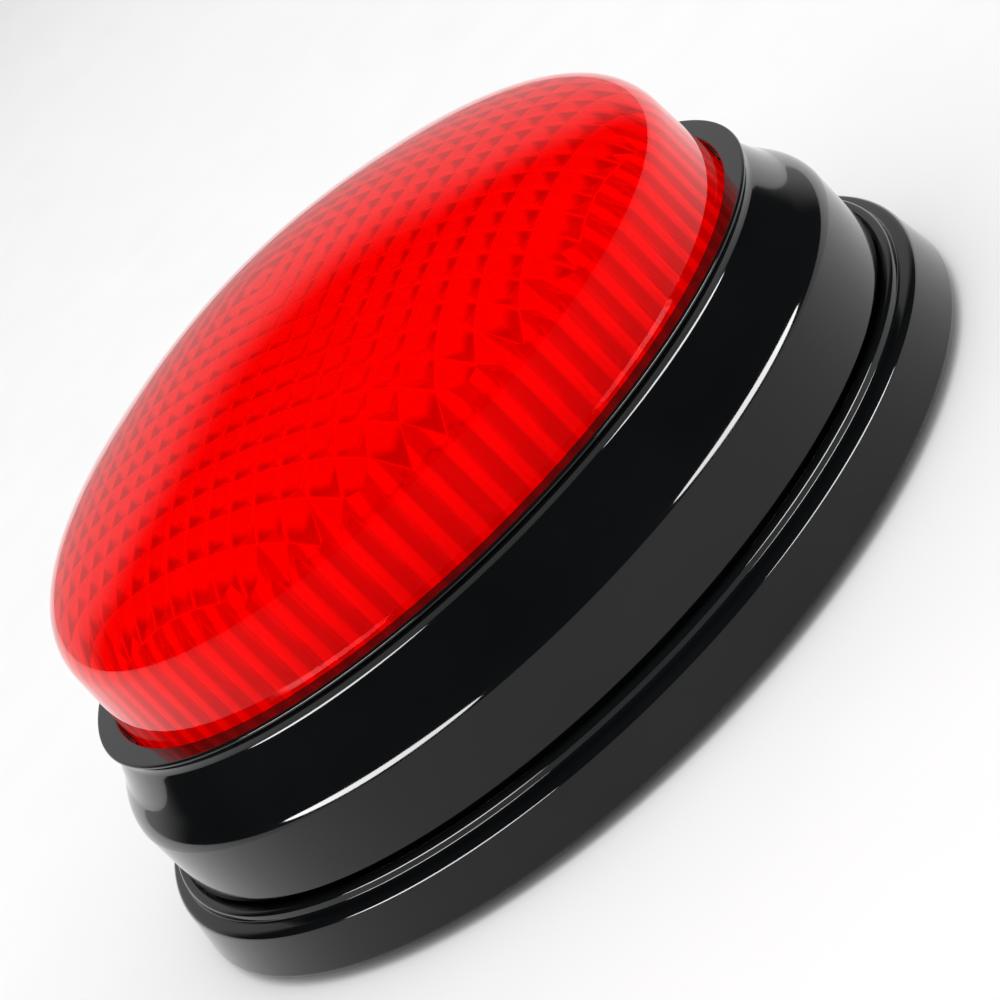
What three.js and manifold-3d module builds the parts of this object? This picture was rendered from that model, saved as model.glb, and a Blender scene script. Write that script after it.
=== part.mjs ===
// A battery-powered quiz buzzer: a red lens dome that is pressed like a button, on a stepped
// round black housing. Millimetres, +Z up, origin on the table at the centre of the feet.
// The battery bay lies at the front (-Y) of the base and the loudspeaker at the back (+Y).

import * as THREE from "three";
import { mergeVertices } from "three/addons/utils/BufferGeometryUtils.js";
import Module from "manifold-3d";

const wasm = await Module();
wasm.setup();

// ---------------------------------------------------------------- driving dimensions

const BASE_RADIUS = 46.5;
const HEIGHT = 41.5;
const GAP = 0.3; // clearance between pieces that rest on each other

const UNDERSIDE = 1.0; // bottom of the shell, held off the table by the feet
const FLOOR = 3.0; // inside face of the base plate
const RIM_TOP = 6.9; // top of the wide base ring
const SPIGOT_TOP = 9.6; // wall of the base that stands inside the upper housing
const SPIGOT_RADIUS = 41.1;
const BODY_BOTTOM = 7.2; // lower edge of the upper housing
const BODY_TOP = 20.95;
const NECK_RADIUS = 39.4; // the neck under the collar's overhanging lip
const SHELF_BOTTOM = 11.4; // annular shelf inside the upper housing
const SHELF_TOP = 12.9;
const BOARD_BOTTOM = 16.8;
const BOARD_TOP = 18.4;
const COLLAR_TOP = 21.5;
const COLLAR_BORE = 37.55;

const DOME_WALL_RADIUS = 37.2;
const DOME_WALL = 2.2; // thickness of the lens dome
const CROWN_RADIUS = 77; // sphere of the dome's crown
const PLATE_BOTTOM = 26.3; // top disc of the press plate

const PIN_CIRCLE = 33.2; // guide pins and return springs
const PIN_ANGLES = [30, 150, 270];
const HOUSING_SCREWS = { circle: 36, angles: [55, 125, 250, 290] };
const FEET = { circle: 38.5, angles: [35, 145, 215, 325] };
const BOARD_SCREWS = { circle: 25.5, angles: [0, 90, 180] };
const LEDS = { circle: 15, angles: [45, 135, 225, 315] };

const CELL = { length: 44.5, radius: 5.25, height: 8.25, rows: [-11.7, -22.7] };
const CONTACT_TABS = [-11.7, -19.6]; // solder tabs of the two wired contacts, along Y
const BAY = { halfLength: 24.6, front: -28.3, back: -6.1, roof: 13.8, wall: 1.2 };
const SPEAKER = { y: 17.5, radius: 14.2 };
const GRILLE_RINGS = [
  { radius: 0, count: 1 },
  { radius: 4, count: 6 },
  { radius: 8, count: 12 },
];
const SWITCH = { x: -33.5, y: 3 };
const DOOR_SCREW_Y = -33.2;

const ROUND = 40; // segments around the visible shells
const SMALL = 12; // segments around small round pieces

const FINISHES = {
  glossBlack: { color: 0x0a0b0c, roughness: 0.12, metalness: 0 },
  satinBlack: { color: 0x121314, roughness: 0.5, metalness: 0 },
  lensRed: { color: 0xe60000, roughness: 0.05, metalness: 0 },
  frosted: { color: 0xf4f4f0, roughness: 0.6, metalness: 0 },
  white: { color: 0xe9e9e4, roughness: 0.45, metalness: 0 },
  rubber: { color: 0x1b1b1b, roughness: 0.85, metalness: 0 },
  steel: { color: 0xb9bcc0, roughness: 0.3, metalness: 1 },
  boardGreen: { color: 0x1d5b33, roughness: 0.4, metalness: 0 },
  clearLed: { color: 0xf3f6f8, roughness: 0.08, metalness: 0 },
  brown: { color: 0xb08a5a, roughness: 0.5, metalness: 0 },
  paper: { color: 0x26231f, roughness: 0.9, metalness: 0 },
  cellJacket: { color: 0x2f6f8f, roughness: 0.35, metalness: 0 },
  wireRed: { color: 0xb01818, roughness: 0.5, metalness: 0 },
  wireBlack: { color: 0x151515, roughness: 0.5, metalness: 0 },
};

// ---------------------------------------------------------------- solids

function solid(geometry) {
  const bare = geometry.index ? geometry.toNonIndexed() : geometry.clone();
  bare.deleteAttribute("normal");
  bare.deleteAttribute("uv");
  const merged = mergeVertices(bare, 1e-4);
  return new wasm.Manifold(
    new wasm.Mesh({
      numProp: 3,
      vertProperties: merged.attributes.position.array,
      triVerts: new Uint32Array(merged.index.array),
    }),
  );
}

// A solid of revolution about Z from a closed outline of [radius, height] points.
function lathe(outline, segments = ROUND) {
  const area = outline.reduce((sum, [r, z], i) => {
    const [nextR, nextZ] = outline[(i + 1) % outline.length];
    return sum + r * nextZ - nextR * z;
  }, 0);
  const ordered = area > 0 ? [...outline] : [...outline].reverse();
  while (ordered.some(([r]) => r === 0) && !(ordered[0][0] === 0 && ordered.at(-1)[0] === 0))
    ordered.push(ordered.shift());
  if (ordered[0][0] !== 0) ordered.push(ordered[0]);
  const points = ordered.map(([r, z]) => new THREE.Vector2(r, z));
  return solid(new THREE.LatheGeometry(points, segments).rotateX(Math.PI / 2));
}

function cylinder(radius, bottom, top, [x, y] = [0, 0], segments = SMALL) {
  const geometry = new THREE.CylinderGeometry(radius, radius, top - bottom, segments);
  return solid(geometry.rotateX(Math.PI / 2).translate(x, y, (bottom + top) / 2));
}

function block([x0, x1], [y0, y1], [z0, z1]) {
  const geometry = new THREE.BoxGeometry(x1 - x0, y1 - y0, z1 - z0);
  return solid(geometry.translate((x0 + x1) / 2, (y0 + y1) / 2, (z0 + z1) / 2));
}

// A round bar of the given radius along a smooth curve through the points.
function bar(points, radius, steps, sides = 6) {
  const path = new THREE.CatmullRomCurve3(points.map((p) => new THREE.Vector3(...p)));
  const corners = Array.from({ length: sides }, (_, i) => {
    const angle = (2 * Math.PI * i) / sides;
    return new THREE.Vector2(radius * Math.cos(angle), radius * Math.sin(angle));
  });
  const section = new THREE.Shape(corners);
  const geometry = new THREE.ExtrudeGeometry(section, {
    steps,
    extrudePath: path,
    bevelEnabled: false,
  });
  return solid(geometry);
}

// A coil spring standing on z = 0, its wire radius included in the height.
function coil({ bottomRadius, topRadius, wire, height, turns, stepsPerTurn = 10 }) {
  const steps = turns * stepsPerTurn;
  const points = Array.from({ length: steps + 1 }, (_, i) => {
    const t = i / steps;
    const radius = THREE.MathUtils.lerp(bottomRadius, topRadius, t);
    const angle = 2 * Math.PI * turns * t;
    return [radius * Math.cos(angle), radius * Math.sin(angle), wire + (height - 2 * wire) * t];
  });
  return bar(points, wire, steps, 5);
}

function onCircle(radius, degrees) {
  const angle = THREE.MathUtils.degToRad(degrees);
  return [radius * Math.cos(angle), radius * Math.sin(angle)];
}

const union = (...solids) => solids.flat().reduce((sum, one) => sum.add(one));
const cut = (body, ...tools) => tools.flat().reduce((rest, one) => rest.subtract(one), body);
const asPairs = (points) => points.map(({ x, y }) => [x, y]);

// ---------------------------------------------------------------- the scene graph

const buzzer = new THREE.Group();

function place(name, shape, finish, position = [0, 0, 0], turn = [0, 0, 0]) {
  const { vertProperties, triVerts } = shape.getMesh();
  const geometry = new THREE.BufferGeometry();
  geometry.setAttribute("position", new THREE.BufferAttribute(vertProperties, 3));
  geometry.setIndex(new THREE.BufferAttribute(triVerts, 1));
  geometry.computeVertexNormals();
  const mesh = new THREE.Mesh(geometry, new THREE.MeshStandardMaterial(FINISHES[finish]));
  mesh.name = name;
  mesh.position.set(...position);
  mesh.rotation.set(...turn);
  buzzer.add(mesh);
}

// ---------------------------------------------------------------- shells

// Base tray: plate, stepped outer ring with a small bead, and the spigot for the upper housing.
function baseShell() {
  const bayOuter = BAY.halfLength + BAY.wall;
  const bayFront = BAY.front - BAY.wall;
  const bayBack = BAY.back + BAY.wall;
  const tray = lathe([
    [0, UNDERSIDE],
    [41.9, UNDERSIDE],
    [42.2, 4.4],
    [44.6, 4.4],
    [44.9, UNDERSIDE],
    [46.2, UNDERSIDE],
    [BASE_RADIUS, UNDERSIDE + 0.3],
    [45.6, 5.35],
    [45.2, 5.74],
    [44.35, 5.95],
    [44.1, 6.45],
    [43.5, RIM_TOP],
    [SPIGOT_RADIUS, RIM_TOP],
    [SPIGOT_RADIUS, SPIGOT_TOP],
    [39.3, SPIGOT_TOP],
    [39.3, FLOOR],
    [0, FLOOR],
  ]);
  const screwPlaces = HOUSING_SCREWS.angles.map((a) => onCircle(HOUSING_SCREWS.circle, a));
  const ribs = [SWITCH.y - 6.2, SWITCH.y + 5.3].map((y) =>
    block([SWITCH.x - 3.5, SWITCH.x + 3.5], [y, y + 0.9], [FLOOR - 1, 5.5]),
  );
  const seat = lathe(
    [
      [SPEAKER.radius + 0.4, FLOOR - 1],
      [SPEAKER.radius + 1.6, FLOOR - 1],
      [SPEAKER.radius + 1.6, 5.5],
      [SPEAKER.radius + 0.4, 5.5],
    ],
    32,
  ).translate(0, SPEAKER.y, 0);
  const filled = union(
    tray,
    screwPlaces.map((p) => cylinder(3.6, FLOOR - 1, 6.0, p)),
    seat,
    ribs,
    cylinder(4.8, FLOOR - 1, 6.3, [0, DOOR_SCREW_Y]),
    block([-27.5, 27.5], [-31, -2.4], [FLOOR - 1, 4.2]),
    block([-bayOuter, bayOuter], [bayFront, bayBack], [FLOOR - 1, BAY.roof + BAY.wall]),
    cylinder(2.4, BAY.roof, BOARD_BOTTOM - GAP, [0, -20]),
  );
  const grille = GRILLE_RINGS.flatMap(({ radius, count }) =>
    Array.from({ length: count }, (_, i) => onCircle(radius, (360 * i) / count)),
  );
  return cut(
    filled,
    block([-BAY.halfLength, BAY.halfLength], [BAY.front, BAY.back], [0, BAY.roof]),
    block([-26.3, 26.3], [-29.8, -4.6], [0, 2.9]),
    block([-4.5, 4.5], [-37.5, -29.7], [0, 2.9]),
    cylinder(3.9, 0, 4.3, [0, DOOR_SCREW_Y], 20),
    cylinder(2.0, 4, 7, [0, DOOR_SCREW_Y]),
    [-13, 13].map((x) => block([x - 3.3, x + 3.3], [-4.7, -3.2], [1.6, 3.4])),
    CONTACT_TABS.map((y) => block([-24.95, -23.65], [y - 2, y + 2], [BAY.roof - 1, BAY.roof + 2])),
    screwPlaces.map((p) => cylinder(1.5, 0, 7, p)),
    screwPlaces.map((p) => cylinder(2.7, 0, 3.4, p, 16)),
    FEET.angles.map((a) => cylinder(4.3, 0, UNDERSIDE + 0.8, onCircle(FEET.circle, a), 20)),
    grille.map(([x, y]) => cylinder(0.95, 0, FLOOR + 1, [x, y + SPEAKER.y], 8)),
    block([SWITCH.x - 1.5, SWITCH.x + 1.5], [SWITCH.y - 3.4, SWITCH.y + 3.4], [0, FLOOR + 1]),
  );
}

// Upper housing: near-vertical wall, convex shoulder and concave neck, with an inside shelf that
// carries the circuit board posts, the three spring wells and the four screw pillars.
function upperHousing() {
  const outside = new THREE.Path()
    .moveTo(43.1, BODY_BOTTOM)
    .lineTo(42.9, 13.8)
    .bezierCurveTo(42.62, 14.66, 41.9, 15.65, 41.2, 16.55)
    .quadraticCurveTo(40.72, 17.17, NECK_RADIUS + 0.1, 19.9);
  const shell = lathe([
    ...asPairs(outside.getPoints(4)),
    [NECK_RADIUS, 20.3],
    [NECK_RADIUS, BODY_TOP],
    [38.6, BODY_TOP],
    [38.6, 19.4],
    [38.9, 19.1],
    [38.9, 17.2],
    [39.5, 16.0],
    [41.0, 13.6],
    [41.0, SHELF_TOP],
    [22.5, SHELF_TOP],
    [22.5, SHELF_BOTTOM],
    [41.4, SHELF_BOTTOM],
    [41.4, BODY_BOTTOM],
  ]);
  const pillars = HOUSING_SCREWS.angles.map((a) => onCircle(HOUSING_SCREWS.circle, a));
  const posts = BOARD_SCREWS.angles.map((a) => onCircle(BOARD_SCREWS.circle, a));
  const wells = PIN_ANGLES.map((a) => onCircle(PIN_CIRCLE, a));
  const filled = union(
    cut(shell, block([-26.1, 26.1], [-29.8, -4.6], [SHELF_BOTTOM - 1, SHELF_TOP + 1])),
    pillars.map((p) => cylinder(3.0, SPIGOT_TOP - GAP - 3, SHELF_BOTTOM + 1, p)),
    posts.map((p) => cylinder(2.6, SHELF_BOTTOM, BOARD_BOTTOM - GAP, p)),
    wells.map((p) => cylinder(3.2, 8.4, SHELF_TOP, p, 16)),
  );
  return cut(
    filled,
    pillars.map((p) => cylinder(1.4, 5, 11, p)),
    posts.map((p) => cylinder(1.15, 12.6, BOARD_BOTTOM, p)),
    wells.map((p) => cylinder(2.7, 10.0, SHELF_TOP + 1, p, 16)),
    wells.map((p) => cylinder(1.75, 8, 11, p)),
  );
}

// Collar: a press-in ring whose skirt and flat lip hold the dome's flange down in the housing.
function collarRing() {
  return lathe([
    [COLLAR_BORE, 19.4],
    [38.3, 19.4],
    [38.3, BODY_TOP + 0.3],
    [39.7, BODY_TOP + 0.3],
    [39.8, 21.32],
    [39.65, 21.46],
    [39.35, COLLAR_TOP],
    [COLLAR_BORE + 0.2, COLLAR_TOP],
    [COLLAR_BORE, COLLAR_TOP - 0.2],
  ]);
}

// ---------------------------------------------------------------- the button

// Outline of the dome's outer face from the foot of its wall to the crown.
function domeOutline() {
  const join = 18;
  const drop = CROWN_RADIUS - Math.sqrt(CROWN_RADIUS ** 2 - join ** 2);
  const path = new THREE.Path()
    .moveTo(DOME_WALL_RADIUS + 0.2, 19.2)
    .lineTo(36.7, 28)
    .bezierCurveTo(36.22, 34.23, 28.7, 36.8, join, HEIGHT - drop);
  const crown = [12, 6, 0].map((r) => [r, HEIGHT - CROWN_RADIUS + Math.sqrt(CROWN_RADIUS ** 2 - r ** 2)]);
  return [...asPairs(path.getPoints(7)), ...crown];
}

// The same outline moved inwards by a wall thickness, along each point's normal.
function movedInwards(outline, distance) {
  return outline.map(([r, z], i) => {
    const [r0, z0] = outline[Math.max(i - 1, 0)];
    const [r1, z1] = i === outline.length - 1 ? [-r0, z0] : outline[i + 1];
    const length = Math.hypot(r1 - r0, z1 - z0);
    return [Math.max(r - (distance * (z1 - z0)) / length, 0), z + (distance * (r1 - r0)) / length];
  });
}

function domeCap() {
  const outside = domeOutline();
  const inside = movedInwards(outside, DOME_WALL);
  inside[0] = [inside[0][0], 17.7];
  return lathe([...outside, ...inside.reverse(), [38.45, 17.7], [38.45, 19.2]]);
}

// Press plate: a white cup under the dome that holds the diffuser, presses the switch with its
// hub and slides on three guide pins inside the return springs.
function pressPlate() {
  const cup = lathe(
    [
      [0, PLATE_BOTTOM],
      [31.0, PLATE_BOTTOM],
      [31.0, 17.9],
      [34.6, 17.9],
      [34.6, 19.7],
      [32.4, 19.7],
      [32.4, PLATE_BOTTOM + 1.5],
      [0, PLATE_BOTTOM + 1.5],
    ],
    36,
  );
  const pins = PIN_ANGLES.map((a) => cylinder(1.4, 9.2, 18.5, onCircle(PIN_CIRCLE, a), 10));
  const windows = LEDS.angles.map((a) => cylinder(4.6, 25, 29, onCircle(LEDS.circle, a), 16));
  return cut(union(cup, pins, cylinder(3.0, 25.75, PLATE_BOTTOM + 1)), windows);
}

place("base_shell", baseShell(), "glossBlack");
place("upper_housing", upperHousing(), "glossBlack");
place("collar_ring", collarRing(), "glossBlack");
place("dome_cap", domeCap(), "lensRed");
place("press_plate", pressPlate(), "white");
place(
  "light_diffuser",
  lathe(
    [
      [0, 28.1],
      [32.0, 28.1],
      [32.0, 29.1],
      [31.4, 29.4],
      [0, 29.4],
    ],
    36,
  ),
  "frosted",
);

const returnSpring = coil({
  bottomRadius: 2.15,
  topRadius: 2.15,
  wire: 0.25,
  height: 7.3,
  turns: 5,
});
PIN_ANGLES.forEach((angle, i) => {
  place("return_spring_" + (i + 1), returnSpring, "steel", [...onCircle(PIN_CIRCLE, angle), 10.3]);
});

// ---------------------------------------------------------------- circuit board

function circuitBoard() {
  const holes = BOARD_SCREWS.angles.map((a) =>
    cylinder(1.2, BOARD_BOTTOM - 1, BOARD_TOP + 1, onCircle(BOARD_SCREWS.circle, a)),
  );
  return cut(cylinder(28, BOARD_BOTTOM, BOARD_TOP, [0, 0], 40), holes);
}

// Board parts stand on z = 0 and are placed this much above the board's copper.
const ON_BOARD = BOARD_TOP + GAP;

function led() {
  const height = 5.7;
  const shoulder = 3.4;
  const dome = new THREE.Path()
    .moveTo(2.5, shoulder)
    .absarc(0, shoulder, height - shoulder, 0, Math.PI / 2)
    .getPoints(2);
  const flange = [[0, 0], [2.9, 0], [2.9, 1], [2.5, 1]];
  return lathe([...flange, ...asPairs(dome).slice(0, -1), [0, height]], SMALL);
}

place("circuit_board", circuitBoard(), "boardGreen");
place(
  "tact_switch_body",
  cut(block([-3, 3], [-3, 3], [0, 3.5]), cylinder(2.05, 1.2, 4)),
  "satinBlack",
  [0, 0, ON_BOARD],
);
place("tact_switch_stem", cylinder(1.75, 1.8, 4.7), "white", [0, 0, ON_BOARD]);
LEDS.angles.forEach((angle, i) => {
  place("led_" + (i + 1), led(), "clearLed", [...onCircle(LEDS.circle, angle), ON_BOARD]);
});
place(
  "sound_chip",
  lathe(
    [
      [0, 0],
      [4.6, 0],
      [4.2, 0.7],
      [2.8, 1.3],
      [0, 1.6],
    ],
    20,
  ),
  "satinBlack",
  [0, 16, ON_BOARD],
);
place(
  "capacitor",
  lathe(
    [
      [0, 0],
      [2.5, 0],
      [2.5, 0.7],
      [2.3, 0.95],
      [2.5, 1.2],
      [2.5, 4.4],
      [0, 4.4],
    ],
    SMALL,
  ),
  "satinBlack",
  [16, 0, ON_BOARD],
);
place(
  "transistor",
  cut(cylinder(2.3, 0, 4.0), block([-3, 3], [-3, -1], [-1, 5])),
  "satinBlack",
  [-16, 0, ON_BOARD],
);
const resistor = lathe(
  [
    [0, -3.4],
    [0.3, -3.4],
    [0.3, -1.7],
    [0.85, -1.4],
    [0.85, 1.4],
    [0.3, 1.7],
    [0.3, 3.4],
    [0, 3.4],
  ],
  8,
);
[-5, 0, 5].forEach((x, i) => {
  place("resistor_" + (i + 1), resistor, "brown", [x, -17, ON_BOARD + 0.9], [Math.PI / 2, 0, 0]);
});

// ---------------------------------------------------------------- screws and feet

// A pan-head screw that points up (+Z), its head's underside on z = 0, with a cross recess.
function screw({ headRadius, headHeight, shankRadius, length }) {
  const body = lathe(
    [
      [0, -headHeight],
      [headRadius * 0.6, -headHeight],
      [headRadius, -headHeight * 0.5],
      [headRadius, 0],
      [shankRadius, 0],
      [shankRadius, length - shankRadius],
      [0, length],
    ],
    SMALL,
  );
  const arm = headRadius * 0.5;
  const half = headRadius * 0.11;
  const depth = [-headHeight - 1, -headHeight * 0.45];
  const alongX = block([-arm, arm], [-half, half], depth);
  const alongY = block([-half, half], [-arm, arm], depth);
  return cut(body, union(alongX, alongY));
}

const housingScrew = screw({ headRadius: 2.4, headHeight: 1.6, shankRadius: 1.1, length: 7.4 });
HOUSING_SCREWS.angles.forEach((angle, i) => {
  const position = [...onCircle(HOUSING_SCREWS.circle, angle), 3.1];
  place("housing_screw_" + (i + 1), housingScrew, "steel", position);
});

const boardScrew = screw({ headRadius: 2.0, headHeight: 1.3, shankRadius: 0.85, length: 5.4 });
BOARD_SCREWS.angles.forEach((angle, i) => {
  const position = [...onCircle(BOARD_SCREWS.circle, angle), ON_BOARD];
  place("board_screw_" + (i + 1), boardScrew, "steel", position, [Math.PI, 0, 0]);
});

const foot = lathe(
  [
    [0, 0],
    [3.5, 0],
    [4, 0.3],
    [4, 1.5],
    [0, 1.5],
  ],
  16,
);
FEET.angles.forEach((angle, i) => {
  place("rubber_foot_" + (i + 1), foot, "rubber", [...onCircle(FEET.circle, angle), 0]);
});

// ---------------------------------------------------------------- loudspeaker

place(
  "speaker_gasket",
  lathe(
    [
      [12.2, 3.3],
      [SPEAKER.radius, 3.3],
      [SPEAKER.radius, 3.8],
      [12.2, 3.8],
    ],
    28,
  ),
  "rubber",
  [0, SPEAKER.y, 0],
);
place(
  "speaker_frame",
  lathe(
    [
      [12.0, 4.1],
      [SPEAKER.radius, 4.1],
      [SPEAKER.radius, 4.9],
      [12.6, 5.2],
      [8.4, 7.8],
      [3.0, 7.8],
      [3.0, 7.2],
      [8.0, 7.2],
      [12.0, 4.7],
    ],
    28,
  ),
  "steel",
  [0, SPEAKER.y, 0],
);
place(
  "speaker_cone",
  lathe(
    [
      [0, 4.9],
      [2.7, 5.2],
      [4.0, 6.0],
      [11.5, 4.1],
      [11.5, 4.5],
      [4.0, 6.4],
      [2.6, 5.6],
      [0, 5.3],
    ],
    28,
  ),
  "paper",
  [0, SPEAKER.y, 0],
);
place("speaker_magnet", cylinder(6.5, 8.1, 10.3, [0, 0], 24), "steel", [0, SPEAKER.y, 0]);

// ---------------------------------------------------------------- power

// A cell lying along X with its positive nub towards +X, centred on the origin.
function batteryCell() {
  const half = CELL.length / 2;
  const outline = [
    [0, -half],
    [4.2, -half],
    [4.6, -half + 0.3],
    [CELL.radius, -half + 0.6],
    [CELL.radius, half - 1.4],
    [4.6, half - 1.0],
    [1.9, half - 1.0],
    [1.9, half],
    [0, half],
  ];
  return lathe(outline, 16).rotate([0, 90, 0]);
}

const CELL_SHIFT = 1.45; // each cell sits towards its nub, and its spring fills the other end
const cellX = [-CELL_SHIFT, CELL_SHIFT];
CELL.rows.forEach((y, i) => {
  const turn = i === 0 ? [0, 0, Math.PI] : [0, 0, 0];
  place("battery_cell_" + (i + 1), batteryCell(), "cellJacket", [cellX[i], y, CELL.height], turn);
});

// Sheet contacts at both ends of the bay: one joins the two cells, two carry the wires.
const CONTACT = { x: 24.2, thickness: 0.4, halfWidth: 4, bottom: 4.5, top: 12.5, tabTop: 15.3 };
const contactInner = CONTACT.x - CONTACT.thickness / 2;
const contactOuter = CONTACT.x + CONTACT.thickness / 2;
const contactHeight = [CONTACT.bottom, CONTACT.top];
const bridgeSpan = [CELL.rows[1] - CONTACT.halfWidth, CELL.rows[0] + CONTACT.halfWidth];
place("contact_bridge", block([contactInner, contactOuter], bridgeSpan, contactHeight), "steel");
["contact_positive", "contact_negative"].forEach((name, i) => {
  const y = CELL.rows[i];
  const tabY = CONTACT_TABS[i];
  const thickness = [-contactOuter, -contactInner];
  const plate = block(thickness, [y - CONTACT.halfWidth, y + CONTACT.halfWidth], contactHeight);
  const tab = block(thickness, [tabY - 1.5, tabY + 1.5], [CONTACT.top - 0.5, CONTACT.tabTop]);
  place(name, union(plate, tab), "steel");
});

const batterySpring = coil({
  bottomRadius: 3.4,
  topRadius: 1.8,
  wire: 0.25,
  height: 2.4,
  turns: 3,
});
[1, -1].forEach((side, i) => {
  const foot = [side * (contactInner - GAP), CELL.rows[i], CELL.height];
  place("battery_spring_" + (i + 1), batterySpring, "steel", foot, [0, (-side * Math.PI) / 2, 0]);
});

// Battery door: a flush plate hooked by two tabs at its back edge and screwed at its front.
function batteryDoor() {
  const plate = union(
    block([-26, 26], [-29.5, -5.1], [UNDERSIDE, 2.6]),
    block([-4.2, 4.2], [-37.2, -29], [UNDERSIDE, 2.6]),
    [-13, 13].map((x) => block([x - 3, x + 3], [-5.5, -3.6], [1.9, 2.6])),
    cylinder(3.6, 2, 4.0, [0, DOOR_SCREW_Y], 20),
  );
  return cut(
    plate,
    cylinder(2.6, 0, 2.7, [0, DOOR_SCREW_Y], 16),
    cylinder(1.4, 2, 5, [0, DOOR_SCREW_Y]),
  );
}
place("battery_door", batteryDoor(), "glossBlack");
place(
  "door_screw",
  screw({ headRadius: 2.3, headHeight: 1.1, shankRadius: 1.1, length: 3.6 }),
  "steel",
  [0, DOOR_SCREW_Y, 2.4],
);

// ---------------------------------------------------------------- power switch

place(
  "slide_switch_body",
  cut(block([-3, 3], [-5, 5], [3.3, 7.8]), block([-1.5, 1.5], [-3.4, 3.4], [3, 5.8])),
  "satinBlack",
  [SWITCH.x, SWITCH.y, 0],
);
place(
  "slide_switch_knob",
  block([-1.2, 1.2], [-3, 0], [1.3, 5.4]),
  "white",
  [SWITCH.x, SWITCH.y, 0],
);

// ---------------------------------------------------------------- leads

const LEAD_RADIUS = 0.45;
const LEADS = {
  battery_wire: {
    red: [
      [-23.6, -11.7, 15.85],
      [-20, -10, 15.85],
      [-16, -9, 15.85],
    ],
    black: [
      [-23.4, -18.9, 15.85],
      [-19, -18.5, 15.85],
      [-14, -18, 15.85],
    ],
  },
  speaker_wire: {
    red: [
      [3, 5.6, 6.2],
      [3, 4.4, 9],
      [3.5, 3, 13],
      [4, 2.5, 16.5],
    ],
    black: [
      [-3, 5.6, 6.2],
      [-3, 4.4, 9],
      [-3.5, 3, 13],
      [-4, 2.5, 16.5],
    ],
  },
  switch_wire: {
    red: [
      [-33.5, 1.5, 8.1],
      [-32.6, 1.5, 9.8],
      [-28, 1.5, 10.2],
      [-22, 2, 10.6],
      [-20, 2, 12.5],
      [-20, 2, 16.5],
    ],
    black: [
      [-33.5, 4.5, 8.1],
      [-32.6, 4.5, 9.8],
      [-28, 4.5, 10.2],
      [-22, 5, 10.6],
      [-20, 5, 12.5],
      [-20, 5, 16.5],
    ],
  },
};
for (const [name, { red, black }] of Object.entries(LEADS)) {
  place(name + "_red", bar(red, LEAD_RADIUS, 10), "wireRed");
  place(name + "_black", bar(black, LEAD_RADIUS, 10), "wireBlack");
}

export default buzzer;
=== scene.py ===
"""Quiz buzzer: high-resolution shells, lens dome, hardware, materials, studio and camera."""
import math

import bmesh
import bpy
import numpy as np
from mathutils import Matrix, Vector


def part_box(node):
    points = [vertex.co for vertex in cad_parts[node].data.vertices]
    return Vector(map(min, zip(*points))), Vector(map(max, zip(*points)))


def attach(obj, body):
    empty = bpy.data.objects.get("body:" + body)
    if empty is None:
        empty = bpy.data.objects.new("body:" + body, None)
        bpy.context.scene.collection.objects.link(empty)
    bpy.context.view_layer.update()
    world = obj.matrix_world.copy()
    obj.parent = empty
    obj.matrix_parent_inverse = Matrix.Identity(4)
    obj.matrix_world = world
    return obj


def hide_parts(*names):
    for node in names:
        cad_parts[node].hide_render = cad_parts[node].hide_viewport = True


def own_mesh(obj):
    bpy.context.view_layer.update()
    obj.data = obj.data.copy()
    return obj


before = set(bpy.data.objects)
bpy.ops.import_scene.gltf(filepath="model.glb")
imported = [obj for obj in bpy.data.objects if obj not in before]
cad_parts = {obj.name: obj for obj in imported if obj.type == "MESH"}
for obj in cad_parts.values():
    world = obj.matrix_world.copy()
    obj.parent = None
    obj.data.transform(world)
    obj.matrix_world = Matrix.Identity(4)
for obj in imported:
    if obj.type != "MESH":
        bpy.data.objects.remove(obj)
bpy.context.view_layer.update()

MM = 0.001

# ------------------------------------------------------------------ driving dimensions, millimetres

DOME_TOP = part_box("dome_cap")[1].z / MM
CROWN_RADIUS = 77.0
DOME_WALL = 2.2
FLANGE_RADIUS, FLANGE_BOTTOM, FLANGE_TOP = 38.45, 17.7, 19.2  # the dome's foot, held under the collar
PRISM_PITCH = 2.58
PRISM_DEPTH = 1.0
RIB_COUNT = 80
RIB_DEPTH = 0.75
RIB_STEPS = 10  # outline points along one rib's wave
RIB_RADIUS = 34.6

ROUND = 288  # segments around the large shells

# (circle radius, angle in degrees) of what repeats around the axis
PINS = [(33.2, angle) for angle in (30, 150, 270)]
HOUSING_SCREWS = [(36, angle) for angle in (55, 125, 250, 290)]
FEET = [(38.5, angle) for angle in (35, 145, 215, 325)]
BOARD_SCREWS = [(25.5, angle) for angle in (0, 90, 180)]
LEDS = [(15, angle) for angle in (45, 135, 225, 315)]

# places of the inner parts, as in the CAD
SHELF = (11.4, 12.9)  # bottom and top of the upper housing's shelf
ON_BOARD = 18.7  # height of the circuit board's upper face
GROOVE_RIBS = 24  # stiffening ribs in the groove under the base's rim
SPEAKER_Y = 17.5
SWITCH = (-33.5, 3)
DOOR_SCREW = (0, -33.2)
CELL_ROWS = (-11.7, -22.7)  # y of the two cells
CELL_HEIGHT = 8.25
CONTACT_TAB = -19.6  # y of the second contact's tab through the bay's wall
SPRING_FOOT, SPRING_HEIGHT = 10.3, 7.3


# ------------------------------------------------------------------ materials


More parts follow.
